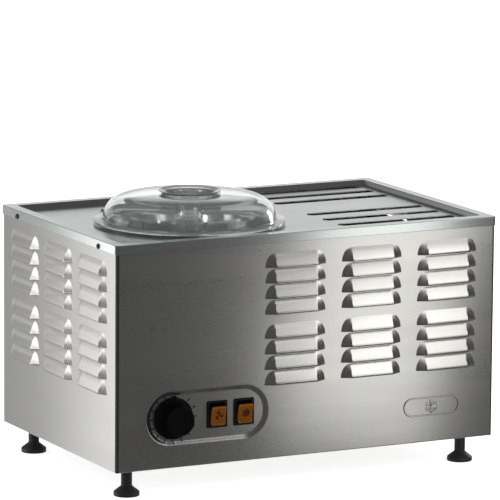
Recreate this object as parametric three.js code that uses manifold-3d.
// Countertop compressor ice cream maker, fully assembled.
// Millimetres, +Z up, front towards -Y. The origin is on the floor below the cabinet's centre.
import * as THREE from "three";
import { mergeVertices } from "three/addons/utils/BufferGeometryUtils.js";
import { ConvexGeometry } from "three/addons/geometries/ConvexGeometry.js";
import Module from "manifold-3d";

const wasm = await Module();
wasm.setup();

// ---- Driving dimensions ----

// Cabinet
const WIDTH = 520; // over the top cover's flange
const DEPTH = 335;
const LEG_HEIGHT = 35;
const CABINET_HEIGHT = 276;
const SHEET = 1.2; // stainless sheet
const GAP = 0.3; // between touching pieces
const TOP_Z = LEG_HEIGHT + CABINET_HEIGHT;
const COVER_FLANGE = 11;
const COVER_CORNER = 6;
const CORNER_GAP = 3; // the panels stop this short of the cabinet's corners
const RIM_WIDTH = 15.3; // flat rim round the recessed tray
const COVER_SCREW_YS = [-118, 118];
const SCREW_HOLE = 2.3;
const TRAY_DROP = 6;
const TRAY_Z = TOP_Z - TRAY_DROP;
const COVER_SCREW_Z = TOP_Z - 7.7;
const SIDE_X = WIDTH / 2 - SHEET - GAP; // outer face of the side panels
const FRONT_Y = DEPTH / 2 - SHEET - GAP; // outer face of the front and rear panels
const PANEL_TOP = TOP_Z - SHEET - GAP;
const INNER_X = SIDE_X - SHEET - GAP; // room inside the panels
const INNER_Y = FRONT_Y - SHEET - GAP;
const BASE_SHEET = 1.5;

// Louvres, all alike
const LOUVRE_LENGTH = 82.5;
const LOUVRE_HEIGHT = 17;
const LOUVRE_REACH = 6.5;
const LOUVRE_PITCH = 19.1;
const LOUVRE_GROUP_STEP = 87; // from one group's lowest row to the next group's
const LOUVRE_LOWEST = LEG_HEIGHT + 90.8;
const LOUVRE_ROWS = 4; // in each group
const FRONT_COLUMNS = [-19.3, 85.2, 190];
const SIDE_COLUMNS = [-98, 0, 98];
const REAR_COLUMNS = [-150, -45];

// Vent slots through the tray
const SLOT_LENGTH = 163;
const SLOT_WIDTH = 16;
const SLOT_X = 149.5;
const SLOT_YS = [-111, -70, -28, 63, 101, 139];

// Controls
const CONTROL_Z = LEG_HEIGHT + 60.6;
const RECESS_X = -136.7;
const RECESS_LENGTH = 162.6;
const RECESS_HEIGHT = 66;
const RECESS_DEPTH = 3;
const RECESS_FACE_Y = RECESS_DEPTH - FRONT_Y; // outer face of the recess floor
const KNOB_X = -182;
const KNOB_RADIUS = 25.5;
const POINTER_RADIUS = 28;
const POINTER_TURN = THREE.MathUtils.degToRad(4); // clockwise at zero minutes
const DIAL_SHAFT_RADIUS = 3;
const TIMER_BODY = [44, 34];
const KNOB_CAP_RADIUS = 18.5;
const KNOB_FRONT_Y = -186;
const SWITCHES = { stir: -123.1, cooling: -86.9 };
const BEZEL = [27, 33, 1.5];
const SWITCH_BODY = [24, 29, 24];
const WINDOW = [19.6, 26.8];
const ROCKER = [19, 24];
const ROCKER_TILT = 9; // degrees out of straight at either end of its travel
const ROCKER_AXIS_Y = RECESS_FACE_Y + 3.9;

// Feet
const FOOT_X = 230;
const FOOT_Y = 135;
const PAD_RADIUS = 15.75;
const STEM_RADIUS = 6.75;
const THREAD_RADIUS = 4;

// Bowl, paddle and lid share one axis
const BOWL_X = -90.5;
const BOWL_Y = -20;
const BOWL_RADIUS = 100;
const BOWL_WALL = 1.5;
const BOWL_FLOOR = 205;
const BOWL_CORNER = 40;
const BOWL_RIM_RADIUS = 109;
const BOWL_RIM_Z = TRAY_Z + 2.5;
const TRAY_HOLE = 103;
const SHAFT_RADIUS = 6;
const POST_RADIUS = 14;
const HUB_RADIUS = 16.5;
const HUB_TOP = TOP_Z - 6.5;
const LID_FLANGE_RADIUS = 118;
const LID_FLANGE_Z = TRAY_Z + 3; // underside
const FUNNEL_RADIUS = 38;

// Lid hinge, behind the lid
const HINGE_TURN = THREE.MathUtils.degToRad(-27); // about the bowl's axis
const HINGE_DISTANCE = 138;
const HINGE_Z = TRAY_Z + 11;
const HINGE_RADIUS = 9;
const HINGE_LENGTH = 76;
const SLEEVE_LENGTH = 48;
const PIN_RADIUS = 3;
const RING_OUTER = 128;
const RING_HALF_ANGLE = 60; // degrees to each side of the hinge

// Drive
const GEAR_MODULE = 2.4;
const GEAR_TEETH = 40;
const PINION_TEETH = 10;
const GEAR_CENTRES = (GEAR_MODULE * (GEAR_TEETH + PINION_TEETH)) / 2;
const GEAR_Z = 165;
const GEAR_WIDTH = 12;
const MOTOR_Y = BOWL_Y + GEAR_CENTRES;
const MOTOR_RADIUS = 40;

// Cooling
const COMPRESSOR_X = 95;
const COMPRESSOR_Y = -75;
const COMPRESSOR_RADIUS = 62;
const CONDENSER_X = 235;
const CONDENSER_DEPTH = 26;
const CONDENSER_SIZE = 200; // height and width
const FAN_Y = 40;
const FAN_Z = 160;
const FAN_RADIUS = 80;

// Mains inlet
const GLAND_X = -185;
const GLAND_Z = 75;
const GLAND_BORE = 4;

// ---- Materials ----

const finish = (color, roughness, metalness, opacity = 1) =>
  new THREE.MeshStandardMaterial({ color, roughness, metalness, opacity, transparent: opacity < 1 });

const brushed = finish(0xb9bab6, 0.35, 1);
const mirror = finish(0xd5d6d4, 0.06, 1);
const tray = finish(0xc4c9c2, 0.15, 1);
const zinc = finish(0x9a9c9a, 0.5, 1);
const satin = finish(0xbfc3c6, 0.3, 1);
const clear = finish(0xf2f6f5, 0.05, 0, 0.35);
const black = finish(0x111111, 0.45, 0);
const darkPlastic = finish(0x24262a, 0.5, 0);
const amber = finish(0xc46a08, 0.3, 0);
const rubber = finish(0x1a1a1a, 0.8, 0);
const foam = finish(0xd9cfa8, 0.9, 0);
const copper = finish(0xb56a3c, 0.35, 1);
const enamel = finish(0x17181a, 0.4, 0);
const castAluminium = finish(0x8f9294, 0.55, 1);

// ---- Solids ----

// A solid from a closed geometry, for joining and cutting.
function solid(geometry) {
  const bare = new THREE.BufferGeometry();
  bare.setAttribute("position", geometry.getAttribute("position"));
  bare.setIndex(geometry.index);
  const merged = mergeVertices(bare, 1e-4);
  const kept = [];
  for (let i = 0; i < merged.index.count; i += 3) {
    const [a, b, c] = merged.index.array.slice(i, i + 3);
    if (a !== b && b !== c && c !== a) kept.push(a, b, c);
  }
  return new wasm.Manifold(
    new wasm.Mesh({
      numProp: 3,
      vertProperties: merged.getAttribute("position").array,
      triVerts: new Uint32Array(kept),
    }),
  );
}

function join(first, ...rest) {
  return rest.reduce((made, next) => made.add(next), first);
}

function cut(first, ...rest) {
  return rest.reduce((made, next) => made.subtract(next), first);
}

function box([x0, x1], [y0, y1], [z0, z1]) {
  const geometry = new THREE.BoxGeometry(x1 - x0, y1 - y0, z1 - z0);
  return solid(geometry.translate((x0 + x1) / 2, (y0 + y1) / 2, (z0 + z1) / 2));
}

// A shape in the XY plane, raised from z0 to z1.
function prism(shape, z0, z1, curveSegments = 2) {
  const geometry = new THREE.ExtrudeGeometry(shape, { depth: z1 - z0, bevelEnabled: false, curveSegments });
  return solid(geometry.translate(0, 0, z0));
}

// A shape in the XZ plane (its y is the height), running from y0 back to y1.
function prismAlongY(shape, y0, y1, curveSegments = 2) {
  const geometry = new THREE.ExtrudeGeometry(shape, { depth: y1 - y0, bevelEnabled: false, curveSegments });
  return solid(geometry.rotateX(Math.PI / 2).translate(0, y1, 0));
}

function rectangle(width, height, radius, cx = 0, cy = 0) {
  const shape = new THREE.Shape();
  const x = width / 2 - radius;
  const y = height / 2 - radius;
  const quarter = Math.PI / 2;
  shape.absarc(cx + x, cy + y, radius, 0, quarter);
  shape.absarc(cx - x, cy + y, radius, quarter, 2 * quarter);
  shape.absarc(cx - x, cy - y, radius, 2 * quarter, 3 * quarter);
  shape.absarc(cx + x, cy - y, radius, 3 * quarter, 4 * quarter);
  return shape;
}

// A body of revolution about Z through (x, y). The profile holds [radius, z] points, in either
// direction: it starts and ends on the axis, or it is a loop round a bore.
function turned(profile, segments, x = 0, y = 0) {
  const onAxis = profile[0][0] === 0;
  const loop = onAxis ? profile : [...profile, profile[0]];
  const area = loop.slice(1).reduce((sum, [r, z], i) => sum + loop[i][0] * z - r * loop[i][1], 0);
  const points = loop.map(([r, z]) => new THREE.Vector2(r, z));
  if (area < 0) points.reverse();
  return solid(new THREE.LatheGeometry(points, segments).rotateX(Math.PI / 2).translate(x, y, 0));
}

function rod(radius, z0, z1, x = 0, y = 0, sides = 16) {
  const geometry = new THREE.CylinderGeometry(radius, radius, z1 - z0, sides).rotateX(Math.PI / 2);
  return solid(geometry.translate(x, y, (z0 + z1) / 2));
}

function rodAlongX(radius, x0, x1, y, z, sides = 16) {
  const geometry = new THREE.CylinderGeometry(radius, radius, x1 - x0, sides).rotateZ(Math.PI / 2);
  return solid(geometry.translate((x0 + x1) / 2, y, z));
}

function rodAlongY(radius, y0, y1, x, z, sides = 16) {
  const geometry = new THREE.CylinderGeometry(radius, radius, y1 - y0, sides);
  return solid(geometry.translate(x, (y0 + y1) / 2, z));
}

function pipe(points, radius, steps, sides = 6) {
  const section = new THREE.Shape();
  for (let i = 0; i < sides; i++) {
    const angle = (2 * Math.PI * i) / sides;
    section[i ? "lineTo" : "moveTo"](radius * Math.cos(angle), radius * Math.sin(angle));
  }
  const extrudePath = new THREE.CatmullRomCurve3(points.map((p) => new THREE.Vector3(...p)));
  return solid(new THREE.ExtrudeGeometry(section, { steps, extrudePath, curveSegments: 1 }));
}

const part = new THREE.Group();

// Names a solid and puts it in the assembly, or in a placed group of it.
function add(name, made, material, group = part) {
  const data = made.getMesh();
  const geometry = new THREE.BufferGeometry();
  geometry.setAttribute("position", new THREE.BufferAttribute(data.vertProperties, 3));
  geometry.setIndex(new THREE.BufferAttribute(data.triVerts, 1));
  const mesh = new THREE.Mesh(geometry.toNonIndexed(), material);
  mesh.geometry.computeVertexNormals();
  mesh.name = name;
  group.add(mesh);
  return mesh;
}

function place(mesh, x, y, turn) {
  mesh.position.set(x, y, 0);
  mesh.rotation.z = turn;
}

// ---- Casing ----

// One louvre on a panel whose outer face is y = 0 and faces -Y. The hood stands out of the face and
// opens downwards at z; the throat is what it leaves open behind it.
function louvre(x, z) {
  const mirrored = (points) =>
    solid(
      new ConvexGeometry(
        points.flatMap(([px, py, pz]) => [
          new THREE.Vector3(x - px, py, z + pz),
          new THREE.Vector3(x + px, py, z + pz),
        ]),
      ),
    );
  const half = LOUVRE_LENGTH / 2;
  const lip = SHEET * 0.9;
  const hood = mirrored([
    [half, GAP, 0],
    [half - 8, -LOUVRE_REACH, 0],
    [half - 11, GAP, LOUVRE_HEIGHT],
    [half - 10, -0.75 * LOUVRE_REACH, 0.5 * LOUVRE_HEIGHT],
  ]);
  const throat = mirrored([
    [half - 2.4, SHEET + 1, -0.5],
    [half - 9, lip - LOUVRE_REACH, -0.5],
    [half - 12.4, SHEET + 1, LOUVRE_HEIGHT - 3],
  ]);
  return { hood, throat };
}

// A flat panel between x0 and x1 with groups of louvres in the given columns.
function louvredPanel(halfWidth, columns, groups) {
  let panel = box([-halfWidth, halfWidth], [0, SHEET], [LEG_HEIGHT, PANEL_TOP]);
  for (const x of columns) {
    for (const group of groups) {
      for (let row = 0; row < LOUVRE_ROWS; row++) {
        const z = LOUVRE_LOWEST + group * LOUVRE_GROUP_STEP + row * LOUVRE_PITCH;
        const { hood, throat } = louvre(x, z);
        panel = cut(join(panel, hood), throat);
      }
    }
  }
  return panel;
}

function sidePanels() {
  const bothGroups = [0, 1];
  const holes = COVER_SCREW_YS.map((y) => rodAlongY(SCREW_HOLE, -1, SHEET + 1, y, COVER_SCREW_Z, 8));
  const panel = cut(louvredPanel(FRONT_Y - CORNER_GAP, SIDE_COLUMNS, bothGroups), ...holes);
  place(add("left_side_panel", panel, brushed), -SIDE_X, 0, -Math.PI / 2);
  place(add("right_side_panel", panel, brushed), SIDE_X, 0, Math.PI / 2);
}

function frontPanel() {
  const half = SIDE_X - CORNER_GAP;
  const dish = rectangle(RECESS_LENGTH, RECESS_HEIGHT, RECESS_HEIGHT / 2 - 0.01, RECESS_X, CONTROL_Z);
  const cup = rectangle(
    RECESS_LENGTH + 2 * SHEET,
    RECESS_HEIGHT + 2 * SHEET,
    RECESS_HEIGHT / 2 + SHEET - 0.01,
    RECESS_X,
    CONTROL_Z,
  );
  let panel = louvredPanel(half, FRONT_COLUMNS, [0, 1]);
  panel = join(panel, prismAlongY(cup, SHEET / 2, SHEET + RECESS_DEPTH, 3));
  panel = cut(panel, prismAlongY(dish, -1, RECESS_DEPTH, 3));
  panel = cut(panel, rodAlongY(4.5, 0, SHEET + RECESS_DEPTH + 1, KNOB_X, CONTROL_Z, 12));
  for (const x of Object.values(SWITCHES)) {
    const [width, height] = SWITCH_BODY;
    panel = cut(
      panel,
      box(
        [x - width / 2 - GAP, x + width / 2 + GAP],
        [0, SHEET + RECESS_DEPTH + 1],
        [CONTROL_Z - height / 2 - GAP, CONTROL_Z + height / 2 + GAP],
      ),
    );
  }
  place(add("front_panel", panel, brushed), 0, -FRONT_Y, 0);
}

function rearPanel() {
  const half = SIDE_X - CORNER_GAP;
  const hole = rodAlongY(8.4, -1, SHEET + 1, -GLAND_X, GLAND_Z, 12);
  const panel = cut(louvredPanel(half, REAR_COLUMNS, [0, 1]), hole);
  place(add("rear_panel", panel, brushed), 0, FRONT_Y, Math.PI);
}

function topCover() {
  const under = SHEET;
  const outline = (inset, radius) => rectangle(WIDTH - 2 * inset, DEPTH - 2 * inset, radius);
  let cover = prism(outline(0, COVER_CORNER), TOP_Z - COVER_FLANGE, TOP_Z);
  const channel = cut(
    prism(outline(under, COVER_CORNER - under), TOP_Z - COVER_FLANGE - 1, TOP_Z - under),
    prism(outline(RIM_WIDTH - under, COVER_CORNER), TRAY_Z - under, TOP_Z),
  );
  cover = cut(cover, channel, prism(outline(RIM_WIDTH, COVER_CORNER - under), TRAY_Z, TOP_Z + 1));
  cover = cut(cover, rod(TRAY_HOLE, TRAY_Z - 5, TOP_Z, BOWL_X, BOWL_Y, 32));
  for (const y of SLOT_YS) {
    const slot = rectangle(SLOT_LENGTH, SLOT_WIDTH, SLOT_WIDTH / 2 - 0.01, SLOT_X, y);
    cover = cut(cover, prism(slot, TRAY_Z - 5, TOP_Z, 1));
  }
  for (const y of COVER_SCREW_YS) {
    for (const x of [-WIDTH / 2, WIDTH / 2]) {
      cover = cut(cover, rodAlongX(SCREW_HOLE, x - 2, x + 2, y, COVER_SCREW_Z, 8));
    }
  }
  add("top_cover", cover, tray);
}

function coverScrews() {
  for (const [side, sign] of [["left", -1], ["right", 1]]) {
    for (const [end, y] of [["front", COVER_SCREW_YS[0]], ["rear", COVER_SCREW_YS[1]]]) {
      const z = COVER_SCREW_Z;
      const head = [WIDTH / 2 + GAP, WIDTH / 2 + 2].map((x) => x * sign).sort((a, b) => a - b);
      const shank = [SIDE_X - 6, WIDTH / 2 + 1].map((x) => x * sign).sort((a, b) => a - b);
      const screw = join(rodAlongX(3.4, ...head, y, z, 12), rodAlongX(1.8, ...shank, y, z, 8));
      add(`cover_screw_${side}_${end}`, screw, zinc);
    }
  }
}

function basePlate() {
  const outer = [INNER_X, INNER_Y];
  const floorTop = LEG_HEIGHT + BASE_SHEET;
  const inner = [INNER_X - BASE_SHEET, INNER_Y - BASE_SHEET];
  let base = cut(
    box([-outer[0], outer[0]], [-outer[1], outer[1]], [LEG_HEIGHT, LEG_HEIGHT + 14]),
    box([-inner[0], inner[0]], [-inner[1], inner[1]], [floorTop, TOP_Z]),
  );
  const notch = 8;
  for (const x of [-INNER_X, INNER_X]) {
    for (const y of [-INNER_Y, INNER_Y]) {
      base = cut(base, box([x - notch, x + notch], [y - notch, y + notch], [0, TOP_Z]));
    }
  }
  for (const x of [-FOOT_X, FOOT_X]) {
    for (const y of [-FOOT_Y, FOOT_Y]) {
      base = join(base, rod(9, LEG_HEIGHT + 0.5, floorTop + 7, x, y, 6));
      base = cut(base, rod(THREAD_RADIUS + GAP, LEG_HEIGHT - 1, floorTop + 9, x, y, 12));
    }
  }
  add("base_plate", base, zinc);
}

// Angles that the panels are screwed to, standing in the base plate's corners. Each has a round
// bead along its edge, which fills the gap between two panels.
function cornerPosts() {
  const flange = 12;
  const beadRadius = 2.1;
  const clear = BASE_SHEET + GAP;
  for (const [end, ySign] of [["front", -1], ["rear", 1]]) {
    for (const [side, xSign] of [["left", -1], ["right", 1]]) {
      const ordered = (from, to) => [from, to].sort((a, b) => a - b);
      const x = ordered(xSign * (INNER_X - clear), xSign * (INNER_X - clear - flange));
      const y = ordered(ySign * (INNER_Y - clear), ySign * (INNER_Y - clear - flange));
      const z = [LEG_HEIGHT + BASE_SHEET + GAP, TRAY_Z - SHEET - GAP];
      const inner = ([from, to], sign) => (sign > 0 ? [from - 1, to - 1.5] : [from + 1.5, to + 1]);
      const angle = cut(box(x, y, z), box(inner(x, xSign), inner(y, ySign), [0, TOP_Z]));
      const [edgeX, edgeY] = [SIDE_X - CORNER_GAP + GAP, FRONT_Y - CORNER_GAP + GAP];
      const corner = (from, to, z0, z1) =>
        box(
          [xSign * (edgeX + from), xSign * (edgeX + to)].sort((a, b) => a - b),
          [ySign * (edgeY + from), ySign * (edgeY + to)].sort((a, b) => a - b),
          [z0, z1],
        );
      const bead = rod(beadRadius, LEG_HEIGHT, PANEL_TOP, xSign * edgeX, ySign * edgeY, 16);
      const web = corner(-1.6, 0.5, LEG_HEIGHT, PANEL_TOP);
      const post = join(angle, bead.intersect(corner(0, CORNER_GAP, 0, TOP_Z)), web);
      add(`corner_post_${end}_${side}`, post, zinc);
    }
  }
}

function feet() {
  const rimHeight = 5;
  const coneTop = 12;
  const profile = [
    [0, 0],
    [PAD_RADIUS, 0],
    [PAD_RADIUS, rimHeight],
    [STEM_RADIUS, coneTop],
    [STEM_RADIUS, LEG_HEIGHT - GAP],
    [THREAD_RADIUS, LEG_HEIGHT - GAP],
    [THREAD_RADIUS, LEG_HEIGHT + 16],
    [0, LEG_HEIGHT + 16],
  ];
  for (const [end, y] of [["front", -FOOT_Y], ["rear", FOOT_Y]]) {
    for (const [side, x] of [["left", -FOOT_X], ["right", FOOT_X]]) {
      add(`foot_${end}_${side}`, turned(profile, 14, x, y), rubber);
    }
  }
}

// ---- Controls ----

// A range of the given size about a place.
function centred(size, at) {
  return [at - size / 2, at + size / 2];
}

function timer() {
  const skirtBack = RECESS_FACE_Y - 0.7;
  const skirtFront = skirtBack - 4;
  const ribs = 18;
  const grip = new THREE.Shape();
  for (let i = 0; i < 2 * ribs; i++) {
    const angle = (Math.PI * i) / ribs;
    const radius = i % 2 ? KNOB_CAP_RADIUS : KNOB_CAP_RADIUS - 1.2;
    const point = [KNOB_X + radius * Math.cos(angle), CONTROL_Z + radius * Math.sin(angle)];
    grip[i ? "lineTo" : "moveTo"](...point);
  }
  const centre = new THREE.Vector2(KNOB_X, CONTROL_Z);
  const corners = [[4.5, KNOB_RADIUS - 2], [0, POINTER_RADIUS], [-4.5, KNOB_RADIUS - 2]];
  const pointer = new THREE.Shape(
    corners.map(([x, z]) => new THREE.Vector2(x, z).add(centre).rotateAround(centre, -POINTER_TURN)),
  );
  const shaftRadius = DIAL_SHAFT_RADIUS;
  const shaftFront = KNOB_FRONT_Y + 5;
  const knob = cut(
    join(
      rodAlongY(KNOB_RADIUS, skirtFront, skirtBack, KNOB_X, CONTROL_Z, 28),
      prismAlongY(pointer, skirtFront + 1, skirtBack),
      prismAlongY(grip, KNOB_FRONT_Y, skirtFront + 1),
    ),
    rodAlongY(shaftRadius + GAP, shaftFront - GAP, 0, KNOB_X, CONTROL_Z, 12),
  );
  add("timer_knob", knob, black);
  const bodyFront = RECESS_FACE_Y + SHEET + GAP;
  const bodyBack = bodyFront + TIMER_BODY[1];
  add("timer_shaft", rodAlongY(shaftRadius, shaftFront, bodyFront + 12, KNOB_X, CONTROL_Z, 12), zinc);
  const body = cut(
    box(centred(TIMER_BODY[0], KNOB_X), [bodyFront, bodyBack], centred(TIMER_BODY[0], CONTROL_Z)),
    rodAlongY(shaftRadius + GAP, bodyFront - 1, bodyFront + 14, KNOB_X, CONTROL_Z, 12),
  );
  add("timer_body", body, darkPlastic);
}

function rocker(x) {
  const half = ROCKER[1] / 2;
  const tilt = THREE.MathUtils.degToRad(ROCKER_TILT);
  const corners = [
    [-12, half - 0.6],
    [-10.2, 0],
    [-12, 0.6 - half],
    [-4, -half],
    [3, -half + 2.5],
    [5.5, 0],
    [3, half - 2.5],
    [-4, half],
  ];
  const section = new THREE.Shape(corners.map(([y, z]) => new THREE.Vector2(y, z)));
  const geometry = new THREE.ExtrudeGeometry(section, { depth: ROCKER[0], bevelEnabled: false });
  geometry.applyMatrix4(new THREE.Matrix4().set(0, 0, 1, 0, 1, 0, 0, 0, 0, 1, 0, 0, 0, 0, 0, 1));
  geometry.translate(-ROCKER[0] / 2, 0, 0).rotateX(tilt).translate(x, ROCKER_AXIS_Y, CONTROL_Z);
  return solid(geometry);
}

function switches() {
  for (const [name, x] of Object.entries(SWITCHES)) {
    const face = RECESS_FACE_Y - GAP;
    const housing = cut(
      join(
        box(centred(BEZEL[0], x), [face - BEZEL[2], face], centred(BEZEL[1], CONTROL_Z)),
        box(
          centred(SWITCH_BODY[0], x),
          [face - 1, face + SWITCH_BODY[2]],
          centred(SWITCH_BODY[1], CONTROL_Z),
        ),
      ),
      box(centred(WINDOW[0], x), [face - BEZEL[2] - 1, face + 14], centred(WINDOW[1], CONTROL_Z)),
    );
    add(`${name}_switch_housing`, housing, black);
    add(`${name}_rocker`, rocker(x), amber);
  }
}

// ---- Bowl, paddle and drive ----

// Points on the bowl's rounded lower corner, offset outwards by the given amount.
function bowlCorner(offset, steps) {
  const cx = BOWL_RADIUS - BOWL_CORNER;
  const cz = BOWL_FLOOR + BOWL_CORNER;
  const radius = BOWL_CORNER + offset;
  return Array.from({ length: steps + 1 }, (_, i) => {
    const angle = (Math.PI / 2) * (i / steps);
    return [cx + radius * Math.sin(angle), cz - radius * Math.cos(angle)];
  });
}

function bowl() {
  const bore = 9.3;
  const inside = bowlCorner(0, 3);
  const outside = bowlCorner(BOWL_WALL, 3).reverse();
  const profile = [
    [bore, BOWL_FLOOR - BOWL_WALL],
    [bore, HUB_TOP - 15],
    [POST_RADIUS, HUB_TOP - 15],
    [POST_RADIUS, BOWL_FLOOR + 5],
    [POST_RADIUS + 5, BOWL_FLOOR],
    ...inside,
    [BOWL_RADIUS, BOWL_RIM_Z - 1.5],
    [BOWL_RADIUS + 1.5, BOWL_RIM_Z],
    [BOWL_RIM_RADIUS, BOWL_RIM_Z],
    [BOWL_RIM_RADIUS, BOWL_RIM_Z - SHEET],
    [BOWL_RADIUS + BOWL_WALL, BOWL_RIM_Z - SHEET],
    ...outside,
  ];
  add("bowl", turned(profile, 28, BOWL_X, BOWL_Y), mirror);
  const gasket = [
    [BOWL_RADIUS + 4, TRAY_Z + GAP],
    [BOWL_RIM_RADIUS, TRAY_Z + GAP],
    [BOWL_RIM_RADIUS, BOWL_RIM_Z - SHEET - GAP],
    [BOWL_RADIUS + 4, BOWL_RIM_Z - SHEET - GAP],
  ];
  add("bowl_gasket", turned(gasket, 24, BOWL_X, BOWL_Y), rubber);
}

function cooledJacket() {
  const tubeRadius = 3.8;
  const coilRadius = BOWL_RADIUS + BOWL_WALL + tubeRadius + 3;
  const turns = 3;
  const stepsPerTurn = 16;
  const low = 250;
  const pitch = 10;
  const route = Array.from({ length: turns * stepsPerTurn + 1 }, (_, i) => {
    const angle = (2 * Math.PI * i) / stepsPerTurn;
    const z = low + (pitch * i) / stepsPerTurn;
    return [BOWL_X + coilRadius * Math.cos(angle), BOWL_Y + coilRadius * Math.sin(angle), z];
  });
  add("evaporator_coil", pipe(route, tubeRadius, turns * stepsPerTurn, 5), copper);
  const inner = coilRadius + tubeRadius + 1.5;
  const outer = 127;
  const mouth = 64;
  const profile = [
    [mouth, 194],
    [outer - 8, 194],
    [outer, 202],
    [outer, TRAY_Z - SHEET - 2],
    [inner, TRAY_Z - SHEET - 2],
    [inner, 238],
    [90, 203],
    [mouth, 200],
  ];
  const jacket = cut(
    turned(profile, 22, BOWL_X, BOWL_Y),
    box([BOWL_X + 90, BOWL_X + 140], [BOWL_Y - 16, BOWL_Y + 16], [240, TOP_Z]),
  );
  add("foam_jacket", jacket, foam);
}

// A blade that leaves the hub along the bowl's floor, then turns up the wall to the given height.
function blade(turn, height) {
  const sweep = new THREE.Shape();
  sweep.moveTo(0, -4);
  sweep.quadraticCurveTo(45, -22, 78, 2);
  sweep.quadraticCurveTo(90, 14, 92, 34);
  sweep.lineTo(99, 34);
  sweep.quadraticCurveTo(97, 6, 82, -8);
  sweep.quadraticCurveTo(45, -32, 0, -10);
  const upright = new THREE.Shape();
  upright.moveTo(82, 3);
  upright.quadraticCurveTo(90, 14, 92, 34);
  upright.lineTo(99, 34);
  upright.quadraticCurveTo(97, 12, 88, -2);
  const extrude = (shape, z0, z1) => {
    const options = { depth: z1 - z0, bevelEnabled: false, curveSegments: 4 };
    const geometry = new THREE.ExtrudeGeometry(shape, options);
    return solid(geometry.rotateZ(turn).translate(BOWL_X, BOWL_Y, z0));
  };
  return join(extrude(sweep, BOWL_FLOOR, BOWL_FLOOR + 16), extrude(upright, BOWL_FLOOR, height));
}

function paddle() {
  const clearance = 3;
  const swept = turned(
    [
      [0, BOWL_FLOOR + clearance],
      ...bowlCorner(-clearance, 6),
      [BOWL_RADIUS - clearance, TOP_Z],
      [0, TOP_Z],
    ],
    36,
    BOWL_X,
    BOWL_Y,
  );
  const bore = POST_RADIUS + 0.6;
  const skirt = [
    [0, BOWL_FLOOR - 1],
    [POST_RADIUS + 8, BOWL_FLOOR - 1],
    [bore, BOWL_FLOOR + 7],
    [0, BOWL_FLOOR + 7],
  ];
  const blades = join(blade(0, 286), blade(Math.PI, 250)).intersect(swept);
  const hub = rod(HUB_RADIUS, BOWL_FLOOR + 6, HUB_TOP, BOWL_X, BOWL_Y, 24);
  const made = cut(
    join(hub, blades),
    rod(bore, BOWL_FLOOR - 5, HUB_TOP - 6, BOWL_X, BOWL_Y, 24),
    turned(skirt, 24, BOWL_X, BOWL_Y),
    rod(SHAFT_RADIUS + GAP, BOWL_FLOOR, HUB_TOP + 1, BOWL_X, BOWL_Y, 16),
  );
  add("paddle", made, satin);
  const nutTop = HUB_TOP + 9;
  const nut = cut(
    prism(starShape(14, HUB_RADIUS - 1.5, HUB_RADIUS - 0.5, BOWL_X, BOWL_Y), HUB_TOP + GAP, nutTop),
    rod(SHAFT_RADIUS + GAP, 0, nutTop - 3, BOWL_X, BOWL_Y, 16),
  );
  add("paddle_nut", nut, satin);
}

function starShape(points, inner, outer, cx, cy) {
  const shape = new THREE.Shape();
  for (let i = 0; i < 2 * points; i++) {
    const angle = (Math.PI * i) / points;
    const radius = i % 2 ? outer : inner;
    shape[i ? "lineTo" : "moveTo"](cx + radius * Math.cos(angle), cy + radius * Math.sin(angle));
  }
  return shape;
}

// A spur gear's outline with straight-sided teeth; `phase` turns it, in teeth.
function gearShape(teeth, phase, cx, cy) {
  const pitchRadius = (GEAR_MODULE * teeth) / 2;
  const corners = [
    [-0.33, -1.2],
    [-0.12, 0.8],
    [0.12, 0.8],
    [0.33, -1.2],
  ];
  const shape = new THREE.Shape();
  for (let tooth = 0; tooth < teeth; tooth++) {
    corners.forEach(([along, up], i) => {
      const angle = (2 * Math.PI * (tooth + phase + along)) / teeth;
      const radius = pitchRadius + up * GEAR_MODULE;
      const point = [cx + radius * Math.cos(angle), cy + radius * Math.sin(angle)];
      shape[tooth || i ? "lineTo" : "moveTo"](...point);
    });
  }
  return shape;
}

function drive() {
  const shaftTop = HUB_TOP + 5.5;
  add("drive_shaft", rod(SHAFT_RADIUS, GEAR_Z - 5, shaftTop, BOWL_X, BOWL_Y), zinc);
  const gearTop = GEAR_Z + GEAR_WIDTH;
  const gear = cut(
    prism(gearShape(GEAR_TEETH, 0, BOWL_X, BOWL_Y), GEAR_Z, gearTop),
    rod(SHAFT_RADIUS + GAP, 0, TOP_Z, BOWL_X, BOWL_Y),
  );
  add("output_gear", gear, zinc);
  const pinion = join(
    prism(gearShape(PINION_TEETH, 0.75 * PINION_TEETH + 0.5, BOWL_X, MOTOR_Y), GEAR_Z - 1, gearTop + 1),
    rod(4, 120, GEAR_Z, BOWL_X, MOTOR_Y, 12),
  );
  add("motor_pinion", pinion, zinc);
  gearbox(gearTop);
  const motorTop = 153.7;
  const motor = cut(
    join(
      rod(MOTOR_RADIUS, 62, motorTop, BOWL_X, MOTOR_Y, 24),
      box([BOWL_X - 24, BOWL_X + 24], [MOTOR_Y, MOTOR_Y + MOTOR_RADIUS + 8], [84, 124]),
    ),
    rod(4 + GAP, 116, motorTop + 1, BOWL_X, MOTOR_Y, 12),
  );
  add("motor_body", motor, enamel);
  const sealTop = HUB_TOP - 18;
  const seal = [
    [SHAFT_RADIUS + GAP, sealTop - 6],
    [9, sealTop - 6],
    [9, sealTop],
    [SHAFT_RADIUS + GAP, sealTop],
  ];
  add("shaft_seal", turned(seal, 16, BOWL_X, BOWL_Y), rubber);
}

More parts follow.
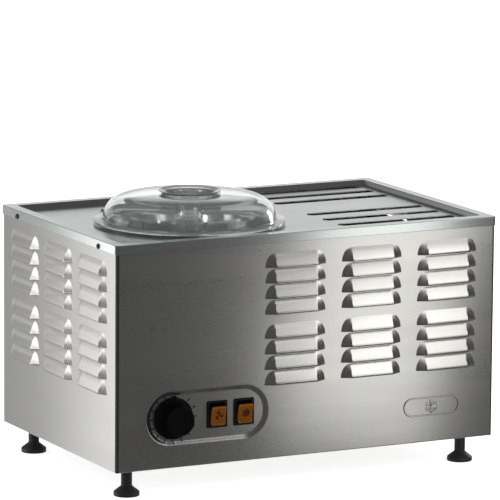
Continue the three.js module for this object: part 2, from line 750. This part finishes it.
function gearbox(gearTop) {
  const wall = 3;
  const floor = 154;
  const rimZ = gearTop + 6;
  const around = (grow, z0, z1) => {
    const wide = 52 + grow;
    const narrow = 16 + grow;
    return join(
      rod(wide, z0, z1, BOWL_X, BOWL_Y, 28),
      rod(narrow, z0, z1, BOWL_X, MOTOR_Y, 16),
      box([BOWL_X - narrow, BOWL_X + narrow], [BOWL_Y, MOTOR_Y], [z0, z1]),
    );
  };
  const housing = cut(
    around(wall, floor, rimZ),
    around(0, floor + wall, rimZ + 1),
    rod(4 + GAP, 0, TOP_Z, BOWL_X, MOTOR_Y, 12),
  );
  add("gearbox_housing", housing, castAluminium);
  const bearingOuter = 13;
  let cover = around(wall, rimZ + GAP, rimZ + 4);
  for (let i = 0; i < 3; i++) {
    const angle = (2 * Math.PI * i) / 3 + 0.4;
    const x = BOWL_X + 40 * Math.cos(angle);
    const y = BOWL_Y + 40 * Math.sin(angle);
    cover = join(cover, rod(5, rimZ + 2, BOWL_FLOOR - BOWL_WALL - GAP, x, y, 10));
  }
  cover = cut(cover, rod(bearingOuter + GAP, 0, TOP_Z, BOWL_X, BOWL_Y, 20));
  add("gearbox_cover", cover, castAluminium);
  const bearing = [
    [SHAFT_RADIUS + GAP, rimZ - 2],
    [bearingOuter, rimZ - 2],
    [bearingOuter, rimZ + 6],
    [SHAFT_RADIUS + GAP, rimZ + 6],
  ];
  add("shaft_bearing", turned(bearing, 20, BOWL_X, BOWL_Y), zinc);
}

// ---- Lid ----

function lid() {
  const flangeTop = LID_FLANGE_Z + 3;
  const up = (z) => flangeTop + z;
  const dome = [
    [103, LID_FLANGE_Z],
    [LID_FLANGE_RADIUS, LID_FLANGE_Z],
    [LID_FLANGE_RADIUS, flangeTop],
    [107, flangeTop],
    [105.3, up(9)],
    [99.5, up(19.5)],
    [88, up(27)],
    [60, up(30)],
    [33.5, up(31)],
    [33.5, up(28.6)],
    [59, up(27.6)],
    [86.5, up(24.8)],
    [97.5, up(17.8)],
    [102.8, up(8)],
  ];
  add("lid_dome", turned(dome, 30, BOWL_X, BOWL_Y), clear);
  const funnel = [
    [FUNNEL_RADIUS, up(35)],
    [FUNNEL_RADIUS, up(33.8)],
    [33, up(31.3)],
    [14, up(12)],
    [14, up(4)],
    [11.6, up(4)],
    [11.6, up(12.6)],
    [31.5, up(32.4)],
    [FUNNEL_RADIUS - 1.2, up(35)],
  ];
  add("filler_funnel", turned(funnel, 22, BOWL_X, BOWL_Y), clear);
  const stopper = [
    [0, up(6)],
    [10.8, up(6)],
    [10.8, up(19.6)],
    [20, up(21.8)],
    [22, up(23.8)],
    [12, up(25)],
    [10.8, up(28)],
    [11.8, up(34.4)],
    [9.8, up(34.4)],
    [9, up(30)],
    [8.6, up(27)],
    [0, up(27)],
  ];
  add("filler_stopper", turned(stopper, 16, BOWL_X, BOWL_Y), clear);
}

function lidHinge() {
  const hinge = new THREE.Group(); // centred on the bowl, its +Y towards the hinge
  hinge.position.set(BOWL_X, BOWL_Y, 0);
  hinge.rotation.z = HINGE_TURN;
  part.add(hinge);

  const ledgeZ = LID_FLANGE_Z - GAP;
  const ringTop = LID_FLANGE_Z + 2.5;
  const ringProfile = [
    [111, LID_FLANGE_Z - 1.6],
    [RING_OUTER, LID_FLANGE_Z - 1.6],
    [RING_OUTER, ringTop],
    [LID_FLANGE_RADIUS + 0.5, ringTop],
    [LID_FLANGE_RADIUS + 0.5, ledgeZ],
    [111, ledgeZ],
  ];
  const half = THREE.MathUtils.degToRad(RING_HALF_ANGLE);
  const far = 300;
  const sector = new THREE.Shape([
    new THREE.Vector2(0, 0),
    new THREE.Vector2(far * Math.sin(half), far * Math.cos(half)),
    new THREE.Vector2(-far * Math.sin(half), far * Math.cos(half)),
  ]);
  const sleeveBack = HINGE_DISTANCE - HINGE_RADIUS;
  const arm = box(
    [6 - SLEEVE_LENGTH / 2, SLEEVE_LENGTH / 2 - 6],
    [RING_OUTER - 4, sleeveBack - GAP],
    [LID_FLANGE_Z - 1.6, ringTop],
  );
  const ring = join(turned(ringProfile, 64).intersect(prism(sector, 0, TOP_Z)), arm);
  add("lid_carrier_ring", ring, satin, hinge);

  const halfSleeve = SLEEVE_LENGTH / 2;
  const pinBore = (from, to) => rodAlongX(PIN_RADIUS + GAP, from, to, HINGE_DISTANCE, HINGE_Z, 12);
  const sleeve = cut(
    rodAlongX(HINGE_RADIUS, -halfSleeve, halfSleeve, HINGE_DISTANCE, HINGE_Z, 20),
    pinBore(-HINGE_LENGTH, HINGE_LENGTH),
    box(
      [8 - halfSleeve, halfSleeve - 8],
      [HINGE_DISTANCE - 6, HINGE_DISTANCE + 6],
      [HINGE_Z + HINGE_RADIUS - 2, TOP_Z + 40],
    ),
  );
  add("hinge_sleeve", sleeve, satin, hinge);

  const plateTop = TRAY_Z + 1.5;
  let base = box(
    [-HINGE_LENGTH / 2, HINGE_LENGTH / 2],
    [HINGE_DISTANCE - HINGE_RADIUS, HINGE_DISTANCE + HINGE_RADIUS],
    [TRAY_Z + GAP, plateTop],
  );
  for (const sign of [-1, 1]) {
    const ends = [sign * (halfSleeve + 0.5), (sign * HINGE_LENGTH) / 2].sort((a, b) => a - b);
    base = join(
      base,
      rodAlongX(HINGE_RADIUS, ...ends, HINGE_DISTANCE, HINGE_Z, 20),
      box(ends, [HINGE_DISTANCE - 7, HINGE_DISTANCE + 7], [plateTop - 0.5, HINGE_Z]),
    );
  }
  add("hinge_base", cut(base, pinBore(-HINGE_LENGTH, HINGE_LENGTH)), darkPlastic, hinge);
  const pin = rodAlongX(PIN_RADIUS, -HINGE_LENGTH / 2, HINGE_LENGTH / 2, HINGE_DISTANCE, HINGE_Z, 12);
  add("hinge_pin", pin, zinc, hinge);
}

// ---- Cooling circuit ----

function compressor() {
  const plateTop = 47;
  const body = turned(
    [
      [0, plateTop - 1],
      [44, plateTop - 1],
      [COMPRESSOR_RADIUS, plateTop + 32],
      [COMPRESSOR_RADIUS, plateTop + 95],
      [COMPRESSOR_RADIUS + 2, plateTop + 96],
      [COMPRESSOR_RADIUS + 2, plateTop + 102],
      [52, plateTop + 138],
      [28, plateTop + 152],
      [0, plateTop + 156],
    ],
    20,
    COMPRESSOR_X,
    COMPRESSOR_Y,
  );
  const foot = prism(rectangle(132, 116, 18, COMPRESSOR_X, COMPRESSOR_Y), plateTop - 3, plateTop, 3);
  const relayBox = box(
    [COMPRESSOR_X - 82, COMPRESSOR_X - 55],
    [COMPRESSOR_Y - 24, COMPRESSOR_Y + 24],
    [90, 140],
  );
  add("compressor", join(body, foot, relayBox), enamel);
  const pad = prism(rectangle(138, 122, 18, COMPRESSOR_X, COMPRESSOR_Y), 36.9, plateTop - 3.4, 3);
  add("compressor_mount_pad", pad, rubber);
}

function condenser() {
  const x = [CONDENSER_X - CONDENSER_DEPTH / 2, CONDENSER_X + CONDENSER_DEPTH / 2];
  const y = [FAN_Y - CONDENSER_SIZE / 2, FAN_Y + CONDENSER_SIZE / 2];
  const z = [FAN_Z - CONDENSER_SIZE / 2, FAN_Z + CONDENSER_SIZE / 2];
  const fins = 7;
  const tubes = 3;
  const fin = (at) => box(x, [at - 1, at + 1], z);
  let made = fin(y[0]);
  for (let i = 0; i < tubes; i++) {
    const height = z[0] + (CONDENSER_SIZE * (i + 0.5)) / tubes;
    made = join(made, rodAlongY(4.5, y[0], y[1], CONDENSER_X, height, 6));
  }
  for (let i = 1; i < fins; i++) {
    made = join(made, fin(y[0] + (CONDENSER_SIZE * i) / (fins - 1)));
  }
  add("condenser", made, castAluminium);
}

function fan() {
  const plateX = CONDENSER_X - CONDENSER_DEPTH / 2 - 6;
  const size = CONDENSER_SIZE / 2;
  const hole = FAN_RADIUS + 4;
  const ringRear = plateX - 12;
  const shroud = cut(
    join(
      box([plateX, plateX + 2], [FAN_Y - size, FAN_Y + size], [FAN_Z - size, FAN_Z + size]),
      rodAlongX(hole + 2, ringRear, plateX + 1, FAN_Y, FAN_Z, 32),
    ),
    rodAlongX(hole, ringRear - 1, plateX + 3, FAN_Y, FAN_Z, 32),
  );
  add("fan_shroud", shroud, zinc);

  const blades = 5;
  const hubX = plateX - 12;
  let rotor = rodAlongX(18, hubX, hubX + 12, FAN_Y, FAN_Z, 16);
  for (let i = 0; i < blades; i++) {
    const corners = [
      [1, 15, -9],
      [8, 15, 9],
      [11, FAN_RADIUS, 20],
      [2, FAN_RADIUS, -14],
    ];
    const points = corners.flatMap(([x, r, across]) => [
      new THREE.Vector3(x, r, across),
      new THREE.Vector3(x + 1.6, r, across),
    ]);
    const geometry = new ConvexGeometry(points).rotateX((2 * Math.PI * i) / blades);
    rotor = join(rotor, solid(geometry.translate(hubX - 0.5, FAN_Y, FAN_Z)));
  }
  const shaftBore = rodAlongX(3 + GAP, hubX - 5, hubX + 8, FAN_Y, FAN_Z, 12);
  add("fan_blade", cut(rotor, shaftBore), darkPlastic);

  const motorRear = hubX - 46;
  const motorFront = hubX - 4;
  let motor = join(
    rodAlongX(28, motorRear, motorFront, FAN_Y, FAN_Z, 20),
    rodAlongX(3, motorFront - 1, hubX + 7, FAN_Y, FAN_Z, 12),
  );
  for (let i = 0; i < 3; i++) {
    const reach = hole + 8;
    const arm = new THREE.BoxGeometry(3, reach, 8).translate(motorFront - 20, reach / 2, 0);
    const toe = new THREE.BoxGeometry(plateX - GAP - motorFront + 21.5, 4, 8);
    toe.translate((plateX - GAP + motorFront - 21.5) / 2, reach - 2, 0);
    for (const piece of [arm, toe]) {
      const turnedPiece = piece.rotateX((2 * Math.PI * (i + 0.25)) / 3).translate(0, FAN_Y, FAN_Z);
      motor = join(motor, solid(turnedPiece));
    }
  }
  add("fan_motor", motor, enamel);
}

function pipework() {
  const discharge = [
    [COMPRESSOR_X + 20, COMPRESSOR_Y + 66, 130],
    [COMPRESSOR_X + 24, COMPRESSOR_Y + 72, 132],
    [132, 4, 180],
    [136, -30, 262],
    [190, -66, 274],
    [CONDENSER_X - 4, -80, 258],
    [CONDENSER_X, -72, 240],
    [CONDENSER_X, -62.5, 240],
  ];
  add("discharge_tube", pipe(discharge, 3, 18), copper);
  const drierX = 70;
  const drierY = 128;
  const drier = [
    [0, 90],
    [2.5, 90],
    [2.5, 96],
    [9, 104],
    [9, 160],
    [2.5, 168],
    [2.5, 174],
    [0, 174],
  ];
  add("filter_drier", turned(drier, 12, drierX, drierY), copper);
  const liquid = [
    [CONDENSER_X, 142.8, 80],
    [CONDENSER_X, 150, 80],
    [CONDENSER_X - 14, 156, 68],
    [150, 150, 58],
    [84, 140, 58],
    [drierX, drierY + 1, 70],
    [drierX, drierY, 89.6],
  ];
  add("liquid_tube", pipe(liquid, 3, 16), copper);
  const capillary = [
    [drierX, drierY, 174.4],
    [drierX, drierY - 4, 200],
    [60, 86, 234],
    [50, 30, 262],
    [38, -12, 266],
    [22, BOWL_Y + 3, 256],
  ];
  add("capillary_tube", pipe(capillary, 1.6, 16), copper);
  const suction = [
    [22, BOWL_Y - 2, 292],
    [30, BOWL_Y - 3, 291],
    [43, -29, 276],
    [49, -40, 240],
    [COMPRESSOR_X - 30, COMPRESSOR_Y + 20, 214],
    [COMPRESSOR_X - 28, COMPRESSOR_Y + 12, 200.6],
  ];
  add("suction_tube", pipe(suction, 4, 16), copper);
}

// ---- Mains inlet and electrics ----

function electrics() {
  const rearFace = FRONT_Y + GAP;
  const end = -KNOB_FRONT_Y;
  const gland = cut(
    join(
      rodAlongY(12, rearFace, rearFace + 6, GLAND_X, GLAND_Z, 6),
      rodAlongY(9.5, rearFace + 5, end - 4, GLAND_X, GLAND_Z, 16),
      rodAlongY(7.5, end - 5, end, GLAND_X, GLAND_Z, 16),
      rodAlongY(8, FRONT_Y - 14, rearFace + 1, GLAND_X, GLAND_Z, 16),
    ),
    rodAlongY(GLAND_BORE, 0, end + 1, GLAND_X, GLAND_Z, 16),
  );
  add("cable_gland", gland, black);
  const block = box([-235, -205], [80, 118], [LEG_HEIGHT + BASE_SHEET + GAP, 66]);
  add("terminal_block", block, foam);
  add("run_capacitor", rod(17, LEG_HEIGHT + BASE_SHEET + GAP, 112, -205, 40, 20), castAluminium);
}

topCover();
frontPanel();
sidePanels();
rearPanel();
coverScrews();
basePlate();
cornerPosts();
feet();
timer();
switches();
bowl();
cooledJacket();
paddle();
drive();
lid();
lidHinge();
compressor();
condenser();
fan();
pipework();
electrics();

export default part;
